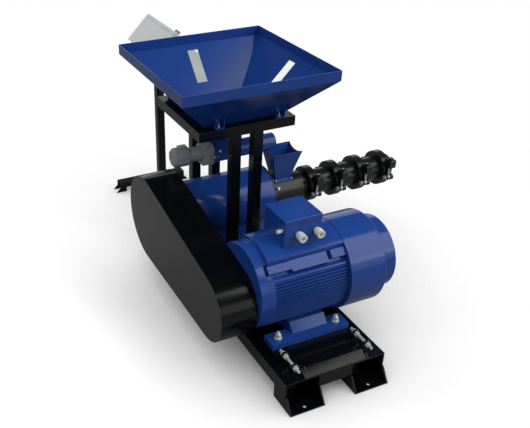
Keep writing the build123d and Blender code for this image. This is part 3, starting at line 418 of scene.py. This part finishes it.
def hex_bolt(flats, head, washer):
    """A washer of a given radius under a chamfered hexagon head."""
    under = flats * 0.14
    rim = washer - WASHER_EDGE
    disc = lathe([(0, 0), (rim, 0), (washer, WASHER_EDGE), (washer, under - WASHER_EDGE), (rim, under),
                  (0, under)])
    points, faces = hexagon(flats, head, flats * 0.08)
    return [disc, ([point + Vector((0, 0, under * MM)) for point in points], faces)]


def stud_and_nut(flats, rise, washer):
    """A washer, a nut and the threaded end of a stud above it."""
    stem = flats * 0.31
    thread = [(0, 0)]
    for i in range(int(rise / THREAD_PITCH)):
        thread += [(stem, THREAD_PITCH * i), (stem - THREAD_DEPTH, THREAD_PITCH * (i + 0.5))]
    thread += [(stem, rise - 1.5), (stem - 1.5, rise), (0, rise)]
    return hex_bolt(flats, flats * 0.8, washer) + [lathe(thread, 20)]


def repeat(shapes, places):
    """Copies of a set of shapes at (location, direction, spin) places."""
    return [placed(shape, *place) for place in places for shape in shapes]


# %% [markdown]
# ## Where the parts of the machine are
# The axes of the screw and the motor and the faces that pieces stand on come from there, and each piece
# adds its own offsets.

# %% Corners of the solids in millimetres
def corners(node):
    """Lowest and highest corner of a solid, in millimetres."""
    low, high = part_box(node)
    return low / MM, high / MM


cover_low, cover_high = corners("housing_cover")
SCREW_Y = (cover_low.y + cover_high.y) / 2
SCREW_Z = (cover_low.z + cover_high.z) / 2
cowl_low, cowl_high = corners("motor_fan_cowl")
MOTOR_Y = (cowl_low.y + cowl_high.y) / 2
MOTOR_Z = (cowl_low.z + cowl_high.z) / 2
print("screw axis", round(SCREW_Y), round(SCREW_Z), "motor axis", round(MOTOR_Y), round(MOTOR_Z))

# %% [markdown]
# ## Motor foot studs
# Four studs hold the motor to its slide plate. Each has a washer, a nut and a few turns of thread showing.
# They stand evenly about the motor's axis, so two distances place all four.

# %% Motor foot studs
FOOT_TOP = 181.0
FOOT_STUD_X = 156.0
FOOT_STUD_Y = 178.0
UP = (0, 0, 1)
studs = [((side_x * FOOT_STUD_X, MOTOR_Y + side_y * FOOT_STUD_Y, FOOT_TOP), UP, 0.3)
         for side_x in (-1, 1) for side_y in (-1, 1)]
make_piece("motor_foot_studs", repeat(stud_and_nut(flats=26.0, rise=35.0, washer=20.0), studs), ZINC)

# %% [markdown]
# ## Stiffeners in the base
# Behind each foot a plate stands across the channel, between its flanges and down to the floor plate of the
# foot. It keeps the cheeks of the foot upright, and it is why no daylight shows through the channel's end.
# A plain box is enough for it, fitted to the corners of its foot and its longeron.

# %% Foot stiffeners
def block(low, high):
    """A box between two corners in millimetres."""
    points = [Vector((x, y, z)) * MM
              for x in (low[0], high[0]) for y in (low[1], high[1]) for z in (low[2], high[2])]
    return points, [(0, 1, 3, 2), (4, 6, 7, 5), (0, 4, 5, 1), (2, 3, 7, 6), (0, 2, 6, 4), (1, 5, 7, 3)]


WALL = 10.0
STIFFENER_T, STIFFENER_INSET = 6.0, 1.0
stiffeners = []
for end, side in (("front", "left"), ("front", "right"), ("rear", "left"), ("rear", "right")):
    low, high = corners(f"foot_{end}_{side}")
    top = corners(f"longeron_{side}")[1].z - WALL
    start = high.y - STIFFENER_T - STIFFENER_INSET if end == "front" else low.y + STIFFENER_INSET
    stiffeners.append(block((low.x + WALL, start, low.z + WALL), (high.x - WALL, start + STIFFENER_T, top)))
make_piece("foot_stiffeners", stiffeners, BLACK)

# %% [markdown]
# ## Gussets and ribs
# A small gusset stands beside each lug of the tension bar and runs down its slope to the edge of the base.
# Under the end of the bearing housing two ribs join the overhang to the pedestal. The gussets are flat
# plates, so an outline and a thickness describe them. The ribs are plain boxes and start a little inside
# the pedestal, which leaves no seam.

# %% Gussets and ribs
def sheet(outline, x, thickness):
    """A flat plate across X; its outline is a list of (y, z) in millimetres, seen from the right."""
    count = len(outline)
    points = [Vector((x + side * thickness / 2, y, z)) * MM for side in (-1, 1) for y, z in outline]
    faces = [tuple(range(count))[::-1], tuple(range(count, 2 * count))]
    faces += [(i, (i + 1) % count, count + (i + 1) % count, count + i) for i in range(count)]
    return points, faces


bar_low = corners("tension_bar")[0]
GUSSET_DEPTH, GUSSET_RISE, GUSSET_T = 43.0, 32.0, 5.0
GUSSET_X = (-143.0, 171.0)
gusset_back = bar_low.y + GUSSET_DEPTH
gusset_line = [(bar_low.y, bar_low.z), (gusset_back, bar_low.z), (gusset_back, bar_low.z + GUSSET_RISE)]
make_piece("lug_gussets", [sheet(gusset_line, x, GUSSET_T) for x in GUSSET_X], BLACK)

pedestal_low, pedestal_high = corners("pedestal")
RIB_REACH, RIB_T, RIB_TOP, RIB_INSET = 60.0, 12.0, 263.0, 1.0
ribs = [block((pedestal_high.x - RIB_INSET, SCREW_Y + side * RIB_REACH - RIB_T / 2, pedestal_low.z),
              (cover_high.x - RIB_INSET, SCREW_Y + side * RIB_REACH + RIB_T / 2, RIB_TOP))
        for side in (-1, 1)]
make_piece("housing_ribs", ribs, BLUE)

# %% [markdown]
# ## Screws of the terminal box, the bearing cover and the funnel
# The lid of the terminal box has a screw in each corner. The bearing cover is bolted round its rim, and the
# funnel's saddle is held by a small bolt at each corner, square to the round feed section. One zinc plug
# stands out of the side of the feed section. All are one bolt in four sizes. A place is a point, the way
# the head looks and a turn about it, so a bolt on a slope costs no more than one on a level lid.

# %% Small screws
lid_low, lid_high = corners("motor_terminal_lid")
INSET = 14.0
lid_screws = [((x, y, lid_high.z), UP, 0.4) for x in (lid_low.x + INSET, lid_high.x - INSET)
              for y in (lid_low.y + INSET, lid_high.y - INSET)]
make_piece("terminal_lid_screws", repeat(hex_bolt(flats=7.0, head=2.5, washer=5.0), lid_screws), BLUE)

COVER_BOLTS, COVER_BOLT_RING = 10, 138.0
ALONG_X = (1, 0, 0)
cover_places = []
for i in range(COVER_BOLTS):
    turn = 2 * pi * (i + 0.5) / COVER_BOLTS
    place = (cover_high.x, SCREW_Y + COVER_BOLT_RING * cos(turn), SCREW_Z + COVER_BOLT_RING * sin(turn))
    cover_places.append((place, ALONG_X, turn))
make_piece("bearing_cover_bolts", repeat(hex_bolt(flats=17.0, head=10.0, washer=14.0), cover_places), STEEL)

SADDLE_R, SADDLE_REACH = 88.0, 42.5
SADDLE_X = (301.0, 399.0)
SADDLE_RISE = (SADDLE_R ** 2 - SADDLE_REACH ** 2) ** 0.5
saddle_places = [((x, SCREW_Y + reach, SCREW_Z + SADDLE_RISE), (0, reach, SADDLE_RISE), 0.2)
                 for reach in (-SADDLE_REACH, SADDLE_REACH) for x in SADDLE_X]
make_piece("funnel_saddle_bolts", repeat(hex_bolt(flats=8.0, head=5.0, washer=5.2), saddle_places), ZINC)

PLUG_TILT = radians(32.6)
PLUG_X, PLUG_R = 303.0, 84.0
plug_way = (0, -cos(PLUG_TILT), sin(PLUG_TILT))
plug_spot = (PLUG_X, SCREW_Y - PLUG_R * cos(PLUG_TILT), SCREW_Z + PLUG_R * sin(PLUG_TILT))
plug = repeat(hex_bolt(flats=15.0, head=9.0, washer=9.5), [(plug_spot, plug_way, 0.1)])
make_piece("feed_section_plug", plug, ZINC)

# %% [markdown]
# ## Feeder and hopper bolts
# The feeder's flange has a bolt in its lower lobe and in each side lobe, and those at the sides show a nut.
# Two more hold the trough's front plate. A tall stud stands in each bracket that ties the hopper to the
# ring frame. They are the same bolt and stud once more, placed from the flange, the screw axis and the
# ring.

# %% Feeder and hopper bolts
flange_low, flange_high = corners("feeder_flange")
feeder_z = (flange_low.z + flange_high.z) / 2
LOBE_REACH = 54.0
lobe_places = []
for dy, dz in ((-LOBE_REACH, 0.0), (LOBE_REACH, 0.0), (0.0, -LOBE_REACH)):
    lobe_places.append(((flange_low.x, SCREW_Y + dy, feeder_z + dz), (-1, 0, 0), 0.0))
    if dz == 0.0:
        lobe_places.append(((flange_high.x, SCREW_Y + dy, feeder_z + dz), ALONG_X, 0.0))
TROUGH_HALF, TROUGH_BOLT_RISE = 50.0, 27.0
TROUGH_BOLT_X = (-46.0, 38.0)
trough_places = [((x, SCREW_Y - TROUGH_HALF, feeder_z + TROUGH_BOLT_RISE), (0, -1, 0), 0.2)
                 for x in TROUGH_BOLT_X]
feeder_bolts = repeat(hex_bolt(flats=10.0, head=6.0, washer=7.0), lobe_places + trough_places)
make_piece("feeder_bolts", feeder_bolts, ZINC)

BRACKET_X, BRACKET_REACH, BRACKET_SHEET = (-149.0, 179.0), 238.0, 4.0
bracket_z = corners("ring_frame")[1].z + BRACKET_SHEET
bracket_places = [((x, SCREW_Y + side * BRACKET_REACH, bracket_z), UP, 0.2)
                  for side in (-1, 1) for x in BRACKET_X]
bracket_studs = repeat(stud_and_nut(flats=9.0, rise=20.0, washer=6.5), bracket_places)
make_piece("hopper_bracket_studs", bracket_studs, ZINC)

# %% [markdown]
# ## Fan guard
# A motor like this draws its air through the end of the cowl, behind a guard of welded wire rings. The
# rings are thin tori spun from a small circle, and eight spokes cross them. A bevelled curve would look the
# same, but the lathe is there already, and its mesh is closed once the last row of points is joined to the
# first.

# %% Fan guard
def ring_of_wire(radius, wire_r, segments=72, round_steps=8):
    """A ring about Z, of wire with a radius of wire_r. Its last row of points is its first."""
    profile = []
    for i in range(round_steps + 1):
        turn = 2 * pi * i / round_steps
        profile.append((radius + wire_r * cos(turn), wire_r * sin(turn)))
    points, faces = lathe(profile, segments)
    last = len(points) - segments
    faces = [tuple(i - last if i >= last else i for i in face) for face in faces]
    return points[:last], faces


def wire(start, end, wire_r, segments=8):
    """A straight wire between two places in millimetres."""
    run = Vector(end) - Vector(start)
    profile = [(0, 0), (wire_r, 0), (wire_r, run.length), (0, run.length)]
    return placed(lathe(profile, segments), start, run)


RING_RADII = range(30, 151, 12)
RING_WIRE_R, SPOKE_WIRE_R = 2.2, 2.0
SPOKES, SPOKE_START, SPOKE_END = 8, 20.0, 154.0
guard_centre = Vector((cowl_high.x + 2.0, MOTOR_Y, MOTOR_Z))
spoke_centre = Vector((cowl_high.x - 1.0, MOTOR_Y, MOTOR_Z))
guard_shapes = [placed(ring_of_wire(radius, RING_WIRE_R), guard_centre, ALONG_X) for radius in RING_RADII]
for i in range(SPOKES):
    turn = 2 * pi * i / SPOKES
    way = Vector((0, cos(turn), sin(turn)))
    guard_shapes.append(wire(spoke_centre + way * SPOKE_START, spoke_centre + way * SPOKE_END, SPOKE_WIRE_R))
make_piece("motor_fan_guard", guard_shapes, BLACK)

# %% [markdown]
# ## Control cabinet fittings
# The cabinet door shuts with two quarter-turn locks on the side of the operator. Along its other edge it
# hangs on two hinges, whose barrels stand a little proud of the door. The cabinet leans by half a right
# angle, so one function turns distances down, along and out of the door into places in the frame.

# %% Cabinet frame of reference
door_low, door_high = corners("control_door")
CABINET_TILT = radians(45)
DOWN = Vector((cos(CABINET_TILT), 0, -sin(CABINET_TILT)))
OUT = Vector((sin(CABINET_TILT), 0, cos(CABINET_TILT)))
CABINET_TOP = Vector((108.0, (door_low.y + door_high.y) / 2, 1088.0))
HALF_LENGTH = (door_high.y - door_low.y) / 2


def on_door(down, along, out=0.0):
    """A place on the cabinet: down the door, along the machine, and out of the door."""
    return CABINET_TOP + DOWN * down + Vector((0, along, 0)) + OUT * out


LOCK_DOWN, LOCK_INSET = (130.0, 380.0), 26.0
LOCK_PROFILE = [(0, 0), (13, 0), (13, 3), (11.5, 4.5), (5, 4.5), (4.5, 3), (0, 3)]
lock_places = [(on_door(down, LOCK_INSET - HALF_LENGTH), OUT, 0.0) for down in LOCK_DOWN]
make_piece("cabinet_locks", repeat([lathe(LOCK_PROFILE)], lock_places), ZINC)

HINGE_DOWN, HINGE_HALF, HINGE_R = (90.0, 410.0), 28.0, 5.0
HINGE_INSET, HINGE_PROUD = 6.0, 2.0
hinge_shapes = []
for down in HINGE_DOWN:
    ends = [on_door(down + reach, HALF_LENGTH - HINGE_INSET, HINGE_PROUD)
            for reach in (-HINGE_HALF, HINGE_HALF)]
    hinge_shapes.append(wire(*ends, HINGE_R, segments=16))
make_piece("cabinet_hinges", hinge_shapes, ZINC)

# %% [markdown]
# ## Studio
# The machine stands on a white floor that runs out of the picture. The floor glows to the camera and
# through glass, and a little to mirrors, so no more light falls on the machine. Light Path picks those
# rays. The glow is full white far out, and close to the machine it carries a painted shadow: it fades where
# the machine stands close above, which an Ambient Occlusion node measures. The reach of this painted shadow
# grows towards the rear right, where the studio's shadow falls. A faint base colour takes the true shadow.

# %% Floor
FAR = (1.0, 3.0)
# How the floor's painted shadow leans, how far it reaches and how deep it is.
SHADE_WAY, SHADE_LEAN = (0.8, 0.6, 0.0), (-0.8, 0.8)
SHADE_REACH = (0.45, 1.35)
SHADE_DEPTH = 1.05
MIRROR_SHARE = 0.28
BASE = 0.07


def white_floor(name):
    """A floor that is white to the camera, dim in reflections, with a painted shadow where the machine stands
    close.
    """
    finish = Finish(name)
    spot = finish.spot()
    distance = finish.node("ShaderNodeVectorMath", {"operation": "LENGTH"}, {0: spot}, "Value")
    far = finish.band(distance, *FAR)
    lean = finish.node("ShaderNodeVectorMath", {"operation": "DOT_PRODUCT"}, {0: spot, 1: SHADE_WAY}, "Value")
    reach = finish.band(lean, *SHADE_LEAN) * (SHADE_REACH[1] - SHADE_REACH[0]) + SHADE_REACH[0]
    free = finish.node("ShaderNodeAmbientOcclusion", {"samples": 12}, {"Distance": reach}, "AO")
    # The painted shadow: the glow darkens where the Ambient Occlusion finds the machine close above.
    painted_shadow = finish.mix(free ** SHADE_DEPTH, rgb(0, 0, 0), rgb(0.99, 0.99, 0.99))
    rays = [finish.node("ShaderNodeLightPath", {}, {}, kind)
            for kind in ("Is Camera Ray", "Is Glossy Ray", "Is Transmission Ray")]
    seen = (rays[0] + rays[1] * MIRROR_SHARE + rays[2]).clip()
    glow = finish.mix(far, painted_shadow, rgb(1.0, 1.0, 1.0))
    finish.paint(Base_Color=finish.mix(far, rgb(BASE, BASE, BASE), rgb(0, 0, 0)), Roughness=0.9,
                 Specular_IOR_Level=0.0, Emission_Color=finish.mix(seen, rgb(0, 0, 0), glow),
                 Emission_Strength=1.0)
    return finish.material


FLOOR_HALF = 40.0
floor_corners = [(FLOOR_HALF * x, FLOOR_HALF * y, 0) for x, y in ((-1, -1), (1, -1), (1, 1), (-1, 1))]
floor_mesh = bpy.data.meshes.new("studio_floor")
floor_mesh.from_pydata(floor_corners, [], [(0, 1, 2, 3)])
floor = bpy.data.objects.new("studio_floor", floor_mesh)
floor_mesh.materials.append(white_floor("floor_white"))
bpy.context.scene.collection.objects.link(floor)
print("floor", 2 * FLOOR_HALF, "metres wide")

# %% [markdown]
# ## Sky
# Gloss paint mirrors the whole room. The real room has a white backdrop that ends a little above the
# horizon and a dark ceiling, which is why the level faces of the black parts look black. The sky has the
# same two parts for the camera and for mirrors. The even light that fills the shadows is a plain dome.

# %% Sky
BACKDROP_TOP = (0.34, 0.45)


def studio_sky(name, side, top, ceiling):
    """A dome that lights from side to top, seen as a white backdrop under a dark ceiling."""
    world = bpy.data.worlds.new(name)
    world.use_nodes = True
    sky = Graph(world.node_tree)
    way = sky.node("ShaderNodeTexCoord", {}, {}, "Generated")
    height = sky.node("ShaderNodeSeparateXYZ", {}, {"Vector": way}, "Z")
    backdrop = sky.mix(sky.band(height, *BACKDROP_TOP), rgb(1, 1, 1), rgb(*ceiling))
    dome = sky.mix(height, rgb(*side), rgb(*top))
    lights = sky.node("ShaderNodeLightPath", {}, {}, "Is Diffuse Ray")
    sky.link(sky.mix(lights, backdrop, dome), sky.tree.nodes["Background"].inputs["Color"])
    return world


SIDE_LIGHT, TOP_LIGHT, CEILING = (0.35, 0.36, 0.36), (0.92, 0.94, 0.96), (0.02, 0.03, 0.05)
bpy.context.scene.world = studio_sky("studio_sky", SIDE_LIGHT, TOP_LIGHT, CEILING)
print("sky:", bpy.context.scene.world.name)

# %% [markdown]
# ## Lights
# One tall soft box stands upright, far off to the front right. It is named by what the machine sees of it:
# a spread of bearings, and a low and a high rise above the horizon. Its sharp-edged band runs along every
# level cylinder, and it lights the flat pads on the motor's shoulder.

# %% Lights
MIDDLE = Vector((0.0, 0.0, 0.5))
WARM_WHITE = (1.0, 1.0, 0.94)


def soft_box(name, bearing, spread, low, high, distance, glow):
    """An upright area light with a radiance of glow; the angles are in degrees."""
    bottom, top = distance * tan(radians(low)), distance * tan(radians(high))
    data = bpy.data.lights.new(name, "AREA")
    data.shape = "RECTANGLE"
    data.size, data.size_y = 2 * distance * tan(radians(spread / 2)), top - bottom
    data.energy = glow * pi * data.size * data.size_y
    data.color = WARM_WHITE
    lamp = bpy.data.objects.new(name, data)
    way = Vector((cos(radians(bearing)), sin(radians(bearing)), 0))
    lamp.location = MIDDLE + way * distance + Vector((0, 0, (bottom + top) / 2))
    lamp.rotation_euler = way.to_track_quat("Z", "Y").to_euler()
    bpy.context.scene.collection.objects.link(lamp)
    print(name, "glows at", glow)


soft_box("side_box", bearing=-37.0, spread=44.0, low=13.0, high=58.0, distance=9.0, glow=2.6)

# %% [markdown]
# ## Camera
# The camera stands to the left of the machine's motor end and looks down about a third of a right angle.
# Its place, its turn and its shift come from the parallel edges of the base, the hopper and the guard.

# %% Camera
FOCUS, IMAGE_WIDTH = 743.554, 530.0  # in pixels
lens = bpy.data.cameras.new("camera")
lens.sensor_fit = "HORIZONTAL"
lens.sensor_width = 36.0
lens.lens = FOCUS * lens.sensor_width / IMAGE_WIDTH
lens.shift_x, lens.shift_y = 0.1200, 0.0702
camera = bpy.data.objects.new("camera", lens)
camera.location = (-1.5962, -2.7552, 2.3709)
camera.rotation_euler = (radians(57.247), 0, radians(-24.841))
bpy.context.scene.collection.objects.link(camera)
bpy.context.scene.camera = camera
bpy.context.scene.view_settings.view_transform = "Standard"
print("lens", round(lens.lens, 1), "mm")
